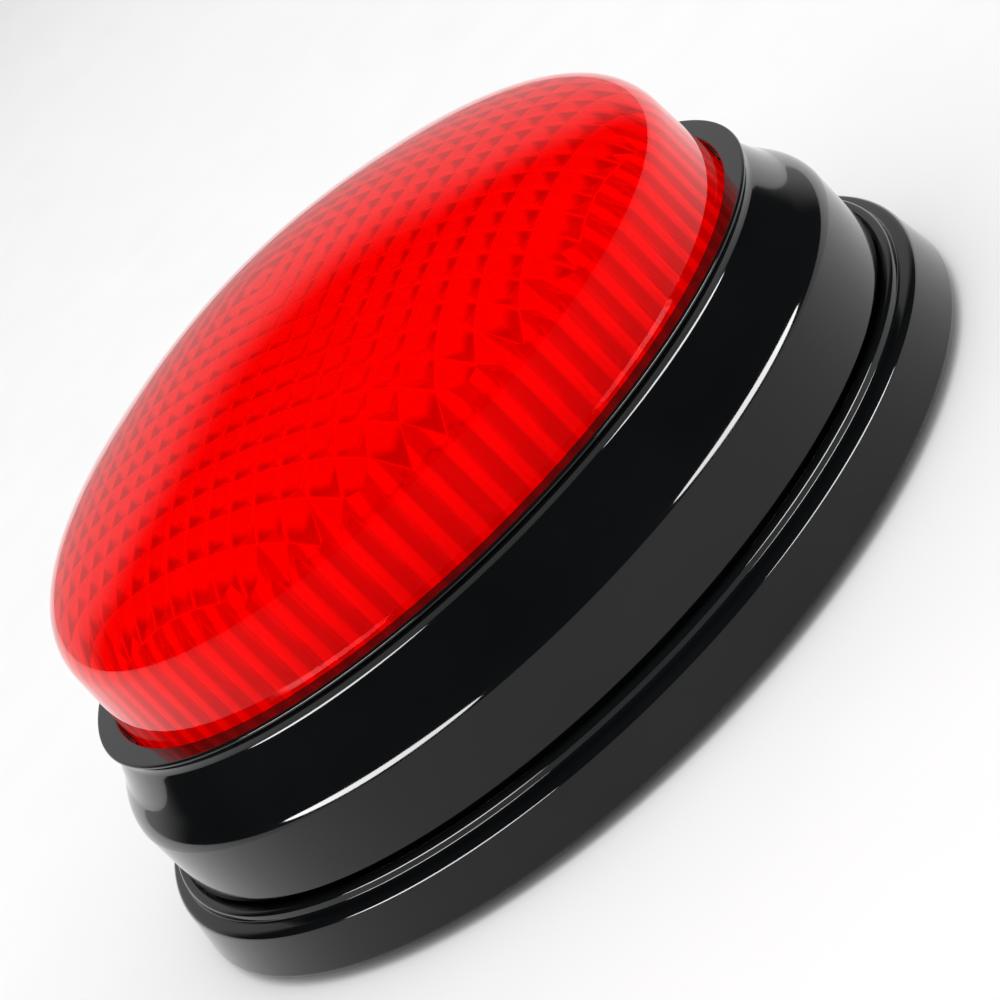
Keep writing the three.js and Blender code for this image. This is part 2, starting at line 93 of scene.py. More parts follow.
def new_material(
    name, color, rough, tone=0.06, grain=900.0, blotch=70.0, relief=0.002, wear=0.0, **sockets
):
    """A moulded or metal surface.

    Fine noise gives the grain and a little unevenness of the gloss, broad noise the colour variation, and
    edges rub lighter by wear. Scales are per metre, relief is in millimetres.
    """
    material = bpy.data.materials.new(name)
    material.use_nodes = True
    nodes, links = material.node_tree.nodes, material.node_tree.links
    shader = nodes["Principled BSDF"]
    for socket, value in sockets.items():
        shader.inputs[socket.replace("_", " ")].default_value = value
    place = nodes.new("ShaderNodeTexCoord").outputs["Object"]

    def noise(scale, detail):
        node = nodes.new("ShaderNodeTexNoise")
        node.inputs["Scale"].default_value = scale
        node.inputs["Detail"].default_value = detail
        links.new(place, node.inputs["Vector"])
        return node.outputs["Fac"]

    def spread(value, low, high, start=0.3, end=0.7):
        node = nodes.new("ShaderNodeMapRange")
        for socket, number in (("From Min", start), ("From Max", end), ("To Min", low), ("To Max", high)):
            node.inputs[socket].default_value = number
        links.new(value, node.inputs["Value"])
        return node.outputs[0]

    def mixed(factor, first, second):
        node = nodes.new("ShaderNodeMix")
        node.data_type = "RGBA"
        links.new(factor, node.inputs[0])
        for socket, value in ((node.inputs[6], first), (node.inputs[7], second)):
            if isinstance(value, tuple):
                socket.default_value = (*value, 1)
            else:
                links.new(value, socket)
        return node.outputs[2]

    fine, broad = noise(grain, 3), noise(blotch, 2)
    darker = tuple(channel * (1 - tone) for channel in color)
    lighter = tuple(min(1.0, channel * (1 + tone)) for channel in color)
    tinted = mixed(spread(broad, 0, 1), darker, lighter)
    if wear:
        edges = nodes.new("ShaderNodeNewGeometry").outputs["Pointiness"]
        flat, sharp = 0.54, 0.68
        rubbed = tuple(0.5 * channel + 0.12 for channel in color)
        tinted = mixed(spread(edges, 0, wear, flat, sharp), tinted, rubbed)
    links.new(tinted, shader.inputs["Base Color"])
    links.new(spread(fine, *rough), shader.inputs["Roughness"])
    bump = nodes.new("ShaderNodeBump")
    bump.inputs["Strength"].default_value = 0.5
    bump.inputs["Distance"].default_value = relief * MM
    links.new(fine, bump.inputs["Height"])
    links.new(bump.outputs[0], shader.inputs["Normal"])
    return material


def banded(material, axis, low, high, colors):
    """Paints equal bands of colour between two millimetre positions along an axis of the object."""
    nodes, links = material.node_tree.nodes, material.node_tree.links
    split = nodes.new("ShaderNodeSeparateXYZ")
    links.new(nodes.new("ShaderNodeTexCoord").outputs["Object"], split.inputs[0])
    position = nodes.new("ShaderNodeMapRange")
    position.inputs["From Min"].default_value = low * MM
    position.inputs["From Max"].default_value = high * MM
    links.new(split.outputs[axis], position.inputs["Value"])
    ramp = nodes.new("ShaderNodeValToRGB")
    ramp.color_ramp.interpolation = "CONSTANT"
    stops = ramp.color_ramp.elements
    for k, color in enumerate(colors):
        stop = stops[k] if k < 2 else stops.new(k / len(colors))
        stop.position = k / len(colors)
        stop.color = (*color, 1)
    links.new(position.outputs[0], ramp.inputs[0])
    links.new(ramp.outputs["Color"], nodes["Principled BSDF"].inputs["Base Color"])
    return material


def calculate(nodes, links, operation, *values, kind="ShaderNodeMath"):
    """One Math or Vector Math node; values are numbers, tuples or sockets."""
    node = nodes.new(kind)
    node.operation = operation
    for socket, value in zip(node.inputs, values):
        if isinstance(value, bpy.types.NodeSocket):
            links.new(value, socket)
        else:
            socket.default_value = value
    return node.outputs["Value"] if operation in ("DOT_PRODUCT", "LENGTH") else node.outputs[0]


def painted_facet_shade_and_glow(material, bright, painted_shade_red, painted_shade):
    """Painted shade and painted glow: darkens the red of the facets that face away from the light, in base
    colour and in the emission glow alike.
    """
    nodes, links = material.node_tree.nodes, material.node_tree.links
    place = nodes.new("ShaderNodeTexCoord").outputs["Object"]
    mix = nodes.new("ShaderNodeMix")
    mix.data_type = "RGBA"
    links.new(painted_shade(nodes, links, place), mix.inputs[0])
    mix.inputs[6].default_value, mix.inputs[7].default_value = (*bright, 1), (*painted_shade_red, 1)
    links.new(mix.outputs[2], nodes["Principled BSDF"].inputs["Base Color"])
    links.new(mix.outputs[2], nodes["Principled BSDF"].inputs["Emission Color"])
    return material


def smooth_step(nodes, links, value, low, high, start=0.0, end=1.0):
    node = nodes.new("ShaderNodeMapRange")
    node.interpolation_type = "SMOOTHSTEP"
    for socket, number in (("From Min", low), ("From Max", high), ("To Min", start), ("To Max", end)):
        node.inputs[socket].default_value = number
    links.new(value, node.inputs["Value"])
    return node.outputs[0]


def prism_painted_shade(nodes, links, place):
    """Painted shade: 1 on the half of each square prism that faces away from the dome's axis, 0 along its
    edges.
    """
    vector = dict(kind="ShaderNodeVectorMath")
    grid = nodes.new("ShaderNodeMapping")
    grid.inputs["Rotation"].default_value = (0, 0, math.radians(-45))
    grid.inputs["Scale"].default_value = (1 / (PRISM_PITCH * MM), 1 / (PRISM_PITCH * MM), 0)
    links.new(place, grid.inputs["Vector"])
    within = calculate(nodes, links, "FRACTION", grid.outputs[0], **vector)
    within = calculate(nodes, links, "SUBTRACT", within, (0.5, 0.5, 0), **vector)
    back = nodes.new("ShaderNodeVectorRotate")
    back.rotation_type = "Z_AXIS"
    back.inputs["Angle"].default_value = math.radians(45)
    links.new(within, back.inputs["Vector"])
    flat = calculate(nodes, links, "MULTIPLY", place, (1, 1, 0), **vector)
    outward = calculate(nodes, links, "NORMALIZE", flat, **vector)
    side = calculate(nodes, links, "DOT_PRODUCT", back.outputs[0], outward, **vector)
    parts = nodes.new("ShaderNodeSeparateXYZ")
    links.new(calculate(nodes, links, "ABSOLUTE", within, **vector), parts.inputs[0])
    edge = calculate(nodes, links, "MAXIMUM", parts.outputs[0], parts.outputs[1])
    outer_half = smooth_step(nodes, links, side, -0.14, 0.14)
    off_edge = smooth_step(nodes, links, edge, 0.38, 0.5, 1.0, 0.0)
    return calculate(nodes, links, "MULTIPLY", outer_half, off_edge)


def rib_painted_shade(nodes, links, place):
    """Painted shade: 1 across the thick of each rib, 0 in the narrow valleys between them."""
    parts = nodes.new("ShaderNodeSeparateXYZ")
    links.new(place, parts.inputs[0])
    angle = calculate(nodes, links, "ARCTAN2", parts.outputs[1], parts.outputs[0])
    wave = calculate(nodes, links, "COSINE", calculate(nodes, links, "MULTIPLY", angle, float(RIB_COUNT)))
    return smooth_step(nodes, links, wave, -0.75, 0.15)


LENS_RED = new_material(
    "lens_red", (0.98, 0.0, 0.0), (0.015, 0.03), tone=0.02, grain=220, relief=0.001, IOR=1.36,
    Transmission_Weight=1.0, Specular_IOR_Level=0.15, Specular_Tint=(1.0, 0.05, 0.06, 1.0),
)
# Inner prism facets: painted shade darkens the halves that face away from the axis, and a weak painted red
# glow (emission) stands in for light reaching them through the lens.
PRISM_RED = painted_facet_shade_and_glow(
    new_material(
        "prism_red", (0.95, 0.0, 0.0), (0.08, 0.14), relief=0.001, IOR=1.5, Transmission_Weight=0.35,
        Emission_Strength=0.26,
    ),
    (1.0, 0.0, 0.0), (0.56, 0.0, 0.0), prism_painted_shade,
)
# Inner rib facets: painted shade darkens the thick of each rib, and a painted red glow (emission) stands in
# for light reaching them through the lens.
RIB_RED = painted_facet_shade_and_glow(
    new_material(
        "rib_red", (0.95, 0.0, 0.0), (0.08, 0.14), relief=0.001, IOR=1.5, Transmission_Weight=0.35,
        Emission_Strength=0.4,
    ),
    (1.0, 0.0, 0.0), (0.66, 0.0, 0.0), rib_painted_shade,
)
GLOSS_BLACK = new_material(
    "gloss_black", (0.002, 0.0022, 0.0024), (0.045, 0.08), tone=0.2, grain=260, relief=0.0012, IOR=1.38
)
SATIN_BLACK = new_material(
    "satin_black", (0.012, 0.012, 0.013), (0.42, 0.56), tone=0.15, grain=2600, relief=0.01
)
WHITE_PLASTIC = new_material(
    "white_plastic", (0.78, 0.78, 0.74), (0.36, 0.5), tone=0.03, grain=1400, relief=0.004
)
FROSTED = new_material("frosted_acrylic", (0.9, 0.9, 0.88), (0.5, 0.65), tone=0.02, grain=3200, relief=0.01)
RUBBER = new_material("foot_rubber", (0.02, 0.02, 0.021), (0.7, 0.9), tone=0.2, grain=2400, relief=0.03)
FOAM = new_material("gasket_foam", (0.03, 0.03, 0.032), (0.85, 0.98), tone=0.25, grain=3500, relief=0.12)
STEEL = new_material(
    "plated_steel", (0.62, 0.63, 0.65), (0.18, 0.34), tone=0.08, grain=1800, relief=0.004, wear=0.2,
    Metallic=1.0,
)
DARK_STEEL = new_material(
    "speaker_steel", (0.4, 0.4, 0.39), (0.3, 0.45), tone=0.12, grain=1300, relief=0.006, Metallic=1.0
)
PAPER = new_material(
    "speaker_paper", (0.028, 0.025, 0.022), (0.85, 0.97), tone=0.3, grain=2800, relief=0.08
)
BOARD = new_material(
    "board_green", (0.012, 0.1, 0.035), (0.28, 0.4), tone=0.25, grain=700, blotch=260, relief=0.02
)
CLEAR = new_material(
    "clear_epoxy", (0.95, 0.97, 1.0), (0.03, 0.08), tone=0.02, relief=0.002, IOR=1.5,
    Transmission_Weight=0.9,
)
CERAMIC, BROWN, BLACK, RED, GOLD = (
    (0.5, 0.36, 0.2), (0.25, 0.1, 0.03), (0.01, 0.01, 0.01), (0.5, 0.03, 0.02), (0.6, 0.42, 0.08),
)
RESISTOR = banded(
    new_material("resistor_ceramic", CERAMIC, (0.35, 0.5), relief=0.01),
    "Y", -18.6, -15.4,
    [CERAMIC, BROWN, CERAMIC, BLACK, CERAMIC, RED, CERAMIC, GOLD, CERAMIC],
)
JACKET = new_material(
    "cell_jacket", (0.02, 0.14, 0.2), (0.2, 0.32), tone=0.1, grain=1500, relief=0.003, Metallic=0.4
)
BAND = new_material(
    "cell_band", (0.72, 0.5, 0.16), (0.22, 0.34), tone=0.06, grain=1500, relief=0.003, Metallic=0.8
)
RED_WIRE = new_material(
    "red_insulation", (0.42, 0.01, 0.01), (0.4, 0.55), tone=0.1, grain=1800, relief=0.01
)
BLACK_WIRE = new_material(
    "black_insulation", (0.012, 0.012, 0.012), (0.4, 0.55), tone=0.2, grain=1800, relief=0.01
)
FLOOR = new_material(
    "pale_floor", (0.9, 0.9, 0.9), (0.55, 0.65), tone=0.01, grain=60, blotch=6, relief=0.01
)


# ------------------------------------------------------------------ mesh helpers


def mesh_object(name, vertices, faces):
    """A new object from millimetre vertices."""
    mesh = bpy.data.meshes.new(name)
    mesh.from_pydata([Vector(v) * MM for v in vertices], [], faces)
    mesh.validate()
    thing = bpy.data.objects.new(name, mesh)
    bpy.context.scene.collection.objects.link(thing)
    return thing


def outwards(thing):
    work = bmesh.new()
    work.from_mesh(thing.data)
    bmesh.ops.recalc_face_normals(work, faces=work.faces)
    if work.calc_volume(signed=True) < 0:
        bmesh.ops.reverse_faces(work, faces=work.faces)
    work.to_mesh(thing.data)
    work.free()
    return thing


def with_modifiers(thing):
    """The piece's mesh as its modifiers make it, without the modifiers."""
    bpy.context.view_layer.update()
    made = bpy.data.meshes.new_from_object(thing.evaluated_get(bpy.context.evaluated_depsgraph_get()))
    thing.modifiers.clear()
    thing.data = made
    return thing


def smooth(thing, degrees=35):
    """Smooth shading that keeps flat faces flat and the edges over the angle sharp."""
    work = bmesh.new()
    work.from_mesh(thing.data)
    for face in work.faces:
        face.smooth = True
    limit = math.radians(degrees)
    for edge in work.edges:
        edge.smooth = len(edge.link_faces) == 2 and edge.calc_face_angle(0) < limit
    work.to_mesh(thing.data)
    work.free()
    modifier = thing.modifiers.new("flat_faces", "WEIGHTED_NORMAL")
    modifier.keep_sharp = True
    modifier.weight = 100
    return with_modifiers(thing)


def rounded(corners, step=12):
    """Outline points from (r, z, fillet radius) corners of a closed outline."""
    points = []
    count = len(corners)
    for i, (r, z, fillet) in enumerate(corners):
        here = np.array([r, z], float)
        if fillet == 0:
            points.append(tuple(here))
            continue
        before = np.array(corners[i - 1][:2], float) - here
        after = np.array(corners[(i + 1) % count][:2], float) - here
        a, b = before / np.linalg.norm(before), after / np.linalg.norm(after)
        half = math.acos(np.clip(a @ b, -1, 1)) / 2
        reach = fillet / math.tan(half)
        centre = here + (a + b) / np.linalg.norm(a + b) * fillet / math.sin(half)
        first, last = here + a * reach - centre, here + b * reach - centre
        turn = math.pi - 2 * half
        sign = 1 if first[0] * last[1] - first[1] * last[0] > 0 else -1
        steps = max(2, round(math.degrees(turn) / step))
        for k in range(steps + 1):
            angle = sign * turn * k / steps
            c, s = math.cos(angle), math.sin(angle)
            r = centre[0] + c * first[0] - s * first[1]
            z = centre[1] + s * first[0] + c * first[1]
            points.append((r, z))
    return points


def bezier(*controls, steps=12):
    """Points on a Bezier curve, without its first one."""
    order = len(controls) - 1
    curve = []
    for k in range(1, steps + 1):
        t = k / steps
        weights = [math.comb(order, i) * t**i * (1 - t) ** (order - i) for i in range(order + 1)]
        curve.append(tuple(sum(w * c[axis] for w, c in zip(weights, controls)) for axis in (0, 1)))
    return curve


def revolve(name, outline, segments=ROUND, centre=(0, 0, 0)):
    """A closed solid of revolution about Z from a closed outline of (r, z) points."""
    cx, cy, cz = centre
    vertices, rings = [], []
    for r, z in outline:
        if r < 1e-6:
            rings.append([len(vertices)] * segments)
            vertices.append((cx, cy, cz + z))
            continue
        rings.append(list(range(len(vertices), len(vertices) + segments)))
        for k in range(segments):
            angle = 2 * math.pi * k / segments
            vertices.append((cx + r * math.cos(angle), cy + r * math.sin(angle), cz + z))
    faces = []
    for low, high in zip(rings, rings[1:] + rings[:1]):
        if low[0] == low[1] and high[0] == high[1]:
            continue
        for k in range(segments):
            n = (k + 1) % segments
            face = [low[k], low[n], high[n], high[k]]
            faces.append(list(dict.fromkeys(face)))
    return outwards(mesh_object(name, vertices, faces))


def prism(name, outline, bottom, top):
    """A closed upright prism from a closed outline of (x, y) points."""
    count = len(outline)
    vertices = [(x, y, z) for z in (bottom, top) for x, y in outline]
    sides = [[k, (k + 1) % count, count + (k + 1) % count, count + k] for k in range(count)]
    caps = [list(range(count)), list(range(count, 2 * count))]
    return outwards(mesh_object(name, vertices, sides + caps))


def boolean(target, tool, operation):
    """Cuts or joins the tool into the target and deletes the tool."""
    modifier = target.modifiers.new("boolean", "BOOLEAN")
    modifier.operation = operation
    modifier.solver = "MANIFOLD"
    modifier.object = tool
    with_modifiers(target)
    bpy.data.objects.remove(tool)
    return target


def join(target, *tools):
    for tool in tools:
        boolean(target, tool, "UNION")
    return target


def cut(target, *tools):
    for tool in tools:
        boolean(target, tool, "DIFFERENCE")
    return target


def cylinder(radius, bottom, top, place=(0, 0), segments=48):
    return revolve("tool", [(0, bottom), (radius, bottom), (radius, top), (0, top)], segments, (*place, 0))


def block(x, y, z, corner=0.0, steps=5):
    """An upright block between (low, high) pairs, its four upright edges rounded."""
    outline = []
    for cx, cy, start in ((x[1], y[1], 0), (x[0], y[1], 90), (x[0], y[0], 180), (x[1], y[0], 270)):
        sx, sy = (1 if cx == x[1] else -1), (1 if cy == y[1] else -1)
        for k in range(steps + 1 if corner else 1):
            angle = math.radians(start + 90 * k / steps)
            outline.append((
                cx - sx * corner + corner * math.cos(angle),
                cy - sy * corner + corner * math.sin(angle),
            ))
    return prism("tool", outline, z[0], z[1])


def on_circle(radius, degrees):
    angle = math.radians(degrees)
    return (radius * math.cos(angle), radius * math.sin(angle))


def turned(thing, matrix, shift=(0, 0, 0)):
    """Turns a piece's mesh, then moves it, in millimetres."""
    thing.data.transform(Matrix.Translation(Vector(shift) * MM) @ matrix)
    return thing


def tube(name, points, radius, sides=10):
    """A round wire along a path of millimetre points, closed at both ends."""
    path = [Vector(p) for p in points]
    vertices, faces = [], []
    side = Vector((0, 0, 1))
    for i, point in enumerate(path):
        along = (path[min(i + 1, len(path) - 1)] - path[max(i - 1, 0)]).normalized()
        side = (side - along * side.dot(along)).normalized()
        up = along.cross(side)
        for k in range(sides):
            angle = 2 * math.pi * k / sides
            vertices.append(point + (side * math.cos(angle) + up * math.sin(angle)) * radius)
    for i in range(len(path) - 1):
        for k in range(sides):
            n = (k + 1) % sides
            faces.append([i * sides + k, i * sides + n, (i + 1) * sides + n, (i + 1) * sides + k])
    faces += [list(range(sides)), list(range((len(path) - 1) * sides, len(path) * sides))]
    return smooth(outwards(mesh_object(name, vertices, faces)), 50)


def coil(name, bottom, top, wire, height, turns, closed=0.8, steps=28):
    """A compression spring on z = 0 whose first and last turns lie flat."""
    points = []
    count = round(turns * steps)
    for i in range(count + 1):
        t = i / count
        radius = bottom + (top - bottom) * t
        angle = 2 * math.pi * turns * t
        rise = min(max((t * turns - closed) / (turns - 2 * closed), 0), 1)
        lift = wire + (height - 2 * wire) * (rise * rise * (3 - 2 * rise) * 0.25 + rise * 0.75)
        points.append((radius * math.cos(angle), radius * math.sin(angle), lift))
    return tube(name, points, wire)


def painted(thing, *materials):
    thing.data.materials.clear()
    for material in materials:
        thing.data.materials.append(material)
    return thing


# ------------------------------------------------------------------ the lens dome


def crown_height(r):
    return DOME_TOP - CROWN_RADIUS + math.sqrt(CROWN_RADIUS**2 - r**2)


def dome_outline():
    """Outer face from the foot of the wall to the crown's centre."""
    join = 18.0
    wall_top = (36.7, 28.0)
    points = [(37.4, FLANGE_TOP), (37.2, 21.5), wall_top]
    points += bezier(wall_top, (36.22, 34.23), (28.7, 36.8), (join, crown_height(join)), steps=36)
    points += [(r, crown_height(r)) for r in np.linspace(join, 0, 12)[1:]]
    return points


def inner_crown(radii):
    """Height of the dome's smooth inner face at each radius."""
    outside = np.array(dome_outline())[2:]
    along = np.gradient(outside, axis=0)
    normal = np.stack([along[:, 1], -along[:, 0]], 1) / np.linalg.norm(along, axis=1)[:, None]
    inside = outside - normal * DOME_WALL
    order = np.argsort(inside[:, 0])
    r, z = inside[order, 0], inside[order, 1]
    edge = 34.0
    height = np.interp(radii, r, z)
    slope = (np.interp(edge, r, z) - np.interp(edge - 0.5, r, z)) / 0.5
    return np.where(radii > edge, np.interp(edge, r, z) + slope * (radii - edge), height)


def prism_field():
    """The light chamber's roof: square pyramids whose edges run at 45 degrees to X and Y."""
    reach = 17
    half = PRISM_PITCH / 2
    turn = math.sqrt(0.5)

    def point(u, v, lift):
        x, y = (u - v) * turn, (u + v) * turn
        return (x, y, float(inner_crown(math.hypot(x, y))) + lift)

    count = 2 * reach + 1
    steps = range(-reach, reach + 1)
    vertices = [point(i * PRISM_PITCH, j * PRISM_PITCH, 0) for i in steps for j in steps]
    faces = []
    for i in range(count - 1):
        for j in range(count - 1):
            corners = [i * count + j, (i + 1) * count + j, (i + 1) * count + j + 1, i * count + j + 1]
            u, v = ((n - reach) * PRISM_PITCH + half for n in (i, j))
            apex = len(vertices)
            vertices.append(point(u, v, -PRISM_DEPTH))
            faces += [[corners[k], corners[(k + 1) % 4], apex] for k in range(4)]
    border = [i * count for i in range(count)] + [(count - 1) * count + j for j in range(1, count)]
    border += [i * count + count - 1 for i in range(count - 2, -1, -1)] + list(range(count - 2, 0, -1))
    floor = 5.0
    skirt = {}
    for b in border:
        skirt[b] = len(vertices)
        x, y, _ = vertices[b]
        vertices.append((x, y, floor))
    faces += [[a, b, skirt[b], skirt[a]] for a, b in zip(border, border[1:] + border[:1])]
    faces.append([skirt[b] for b in border])
    return outwards(mesh_object("prism_field", vertices, faces))


def rib_prism():
    """The light chamber's wall: rounded ribs all round."""
    outline = []
    for k in range(RIB_COUNT * RIB_STEPS):
        angle = 2 * math.pi * k / (RIB_COUNT * RIB_STEPS)
        radius = RIB_RADIUS - RIB_DEPTH / 2 * math.cos(RIB_COUNT * angle)
        outline.append((radius * math.cos(angle), radius * math.sin(angle)))
    return prism("rib_prism", outline, 10.0, 60.0)


def dome_cap():
    """The lens: a clear red skin outside, prisms and ribs moulded into its inner face."""
    foot = [(0, FLANGE_BOTTOM), (FLANGE_RADIUS, FLANGE_BOTTOM), (FLANGE_RADIUS, FLANGE_TOP)]
    solid = [*dome_outline(), *foot]
    cap = revolve("lens_dome", solid, 384)
    chamber = boolean(rib_prism(), prism_field(), "INTERSECT")
    smooth(boolean(cap, chamber, "DIFFERENCE"), 28)
    cap.data.materials.clear()
    for material in (LENS_RED, PRISM_RED, RIB_RED):
        cap.data.materials.append(material)
    for face in cap.data.polygons:
        x, y, z = face.center / MM
        radius = math.hypot(x, y)
        under_crown = FLANGE_BOTTOM + 0.05 < z < float(inner_crown(radius)) + 0.3
        inside = radius < RIB_RADIUS + RIB_DEPTH and under_crown
        face.material_index = 0 if not inside else 2 if radius > RIB_RADIUS - RIB_DEPTH else 1
    return cap


# ------------------------------------------------------------------ shells


def upper_outline():
    """Outer face of the upper housing: wall, crease, convex shoulder, concave neck."""
    crease, inflection, neck_foot = (42.9, 13.8), (41.2, 16.55), (39.5, 19.9)
    points = [(42.9, 7.2), (43.08, 7.4), crease]
    points += bezier(crease, (42.68, 14.95), (42.0, 15.6), inflection, steps=24)
    points += bezier(inflection, (40.72, 17.17), neck_foot, steps=16)
    points += bezier(neck_foot, (39.4, 20.13), (39.4, 20.4), steps=6)
    return points + [(39.4, 20.6), (39.25, 20.75)]


def upper_housing():
    """The housing with its inner shelf, screw pillars, board posts and spring wells."""
    inside = [
        (38.6, 20.75), (38.6, 19.4), (38.9, 19.1), (38.9, 17.2), (39.5, 16.0), (41.0, 13.6),
        (41.0, SHELF[1]), (22.5, SHELF[1]), (22.5, SHELF[0]), (41.4, SHELF[0]), (41.4, 7.2),
    ]
    body = revolve("upper_housing_shell", upper_outline() + inside)
    pillars = [on_circle(*at) for at in HOUSING_SCREWS]
    posts = [on_circle(*at) for at in BOARD_SCREWS]
    wells = [on_circle(*at) for at in PINS]
    cut(body, block((-26.1, 26.1), (-29.8, -4.6), (SHELF[0] - 1, SHELF[1] + 1)))
    join(body, *[cylinder(3.0, 6.3, SHELF[0] + 0.5, at) for at in pillars])
    join(body, *[cylinder(2.6, SHELF[0] + 0.2, 16.5, at) for at in posts])
    join(body, *[cylinder(3.2, 8.4, SHELF[1] - 0.1, at) for at in wells])
    cut(body, *[cylinder(1.4, 5, 11, at) for at in pillars])
    cut(body, *[cylinder(1.15, 12.6, 17, at) for at in posts])
    cut(body, *[cylinder(2.7, 10.0, 14, at) for at in wells])
    cut(body, *[cylinder(1.75, 8, 11, at) for at in wells])
    return smooth(body, 9)


def collar():
    """The flat collar around the dome with its skirt."""
    corners = [
        (37.55, 19.4, 0), (38.3, 19.4, 0), (38.3, 21.15, 0), (39.8, 21.15, 0.05), (39.8, 21.5, 0.24),
        (37.55, 21.5, 0.25),
    ]
    return smooth(revolve("collar_trim", rounded(corners, 8)), 50)


def base_shell():
    """The base tray: stepped ring with a bead, spigot, battery bay, and all that the underside shows."""
    corners = [
        (0, 1.0, 0), (41.9, 1.0, 0.3), (42.2, 4.4, 0.3), (44.6, 4.4, 0.3), (44.9, 1.0, 0.2),
        (46.5, 1.0, 0.35), (45.6, 5.74, 0.75), (44.3, 5.95, 0.25), (44.15, 6.9, 0.45), (43.3, 6.9, 0.3),
        (43.1, 6.6, 0.1),
        (41.1, 6.6, 0), (41.1, 9.6, 0.2), (39.3, 9.6, 0.2), (39.3, 3.0, 0), (0, 3.0, 0),
    ]
    tray = revolve("base_tray", rounded(corners, 10))
    screws = [on_circle(*at) for at in HOUSING_SCREWS]
    feet = [on_circle(*at) for at in FEET]
    seat = revolve("tool", [(14.6, 2), (15.8, 2), (15.8, 5.5), (14.6, 5.5)], 96, (0, SPEAKER_Y, 0))
    # bosses, the speaker's seat, the switch's walls and the battery bay stand on the plate
    join(tray, *[cylinder(3.6, 2, 6.0, at) for at in screws])
    join(tray, seat, cylinder(4.8, 2, 6.3, DOOR_SCREW, 64))
    join(tray, *[block((SWITCH[0] - 3.5, SWITCH[0] + 3.5), (y, y + 0.9), (2, 5.5)) for y in (-3.2, 8.3)])
    join(tray, block((-27.5, 27.5), (-31, -2.4), (2, 4.2), 1.0))
    join(tray, block((-25.8, 25.8), (-29.5, -4.9), (2, 15.0), 0.8))
    join(tray, cylinder(2.4, 13.9, 16.5, (0, -20)))
    # ribs in the groove below the rim
    for k in range(GROOVE_RIBS):
        rib = block((41.8, 45.0), (-0.4, 0.4), (1.35, 4.6))
        turned(rib, Matrix.Rotation(2 * math.pi * (k + 0.5) / GROOVE_RIBS, 4, "Z"))
        join(tray, rib)
    # the bay's hollow, the door's seat with its tongue, boss and tab slots, and the contact slots
    cut(tray, block((-24.6, 24.6), (-28.3, -6.1), (0, 13.8), 0.6))
    cut(tray, block((-26.3, 26.3), (-29.8, -4.6), (0, 2.9), 0.9))
    cut(tray, block((-4.5, 4.5), (-37.5, -29.5), (0, 2.9), 1.2), cylinder(3.9, 0, 4.3, DOOR_SCREW, 64))
    cut(tray, cylinder(2.0, 4, 7, DOOR_SCREW))
    cut(tray, *[block((x - 3.3, x + 3.3), (-4.8, -3.2), (1.6, 3.4)) for x in (-13, 13)])
    cut(tray, *[block((-24.95, -23.65), (y - 2, y + 2), (13, 16)) for y in (CELL_ROWS[0], CONTACT_TAB)])
    # screw holes, foot seats, the speaker's grille and the switch's slot
    cut(tray, *[cylinder(1.5, 0, 7, at) for at in screws])
    cut(tray, *[cylinder(2.7, 0, 3.4, at) for at in screws])
    cut(tray, *[cylinder(4.3, 0, 1.8, at, 64) for at in feet])
    for radius, count in ((0, 1), (4, 6), (8, 12)):
        for k in range(count):
            x, y = on_circle(radius, 360 * k / count)
            hole = [(0, 0), (1.35, 0), (1.35, 0.99), (0.95, 1.4), (0.95, 4), (0, 4)]
            cut(tray, revolve("tool", hole, 32, (x, y + SPEAKER_Y, 0)))
    cut(tray, block((SWITCH[0] - 1.5, SWITCH[0] + 1.5), (SWITCH[1] - 3.4, SWITCH[1] + 3.4), (0, 4), 0.3))
    return smooth(tray, 40)


def battery_door():
    """The flush door: rounded plate and tongue, hook tabs, screw boss, and grip grooves outside."""
    plate = block((-26, 26), (-29.5, -5.1), (1.0, 2.6), 0.8)
    plate.name = "battery_door_panel"
    join(plate, block((-4.2, 4.2), (-37.2, -29), (1.0, 2.6), 1.2))
    join(plate, *[block((x - 3, x + 3), (-5.5, -3.6), (1.9, 2.6), 0.3) for x in (-13, 13)])
    join(plate, cylinder(3.6, 2, 4.0, DOOR_SCREW, 64))
    cut(plate, cylinder(2.6, 0, 2.7, DOOR_SCREW, 64), cylinder(1.4, 2, 5, DOOR_SCREW))
    cut(plate, *[block((-8, 8), (y, y + 0.7), (0.5, 1.35), 0.3) for y in (-27.6, -26.0, -24.4)])
    cut(plate, *[block((x, x + 0.6), (-27, -7.5), (2.2, 3)) for x in (-18, -6, 6, 18)])
    return smooth(plate, 40)


def screw(name, head_radius, head_height, shank_radius, length, pitch=0.6):
    """A pan-head thread-forming screw pointing up, its head's underside on z = 0, with a cross recess."""
    edge = head_height * 0.35
    outline = [(0, -head_height)]
    outline += bezier((0, -head_height), (head_radius * 0.75, -head_height), (head_radius, -edge), steps=10)
    outline += [(head_radius, -0.12), (head_radius - 0.12, 0), (shank_radius, 0)]
    outline += [(shank_radius, z) for z in np.arange(pitch, length - shank_radius, pitch / 6)]
    body = revolve(name, outline + [(0.15, length), (0, length)], 40)
    for vertex in body.data.vertices:
        x, y, z = vertex.co / MM
        if z > pitch / 2 and math.hypot(x, y) > shank_radius * 0.99:
            phase = (z / pitch - math.atan2(y, x) / (2 * math.pi)) % 1
            shrink = 1 - 0.22 * abs(2 * phase - 1) ** 0.6
            vertex.co.x *= shrink
            vertex.co.y *= shrink
    arm, half = head_radius * 0.52, head_radius * 0.1
    depth = (-head_height - 1, -head_height * 0.45)
    cut(body, block((-arm, arm), (-half, half), depth), block((-half, half), (-arm, arm), depth))
    return painted(smooth(body, 38), STEEL)


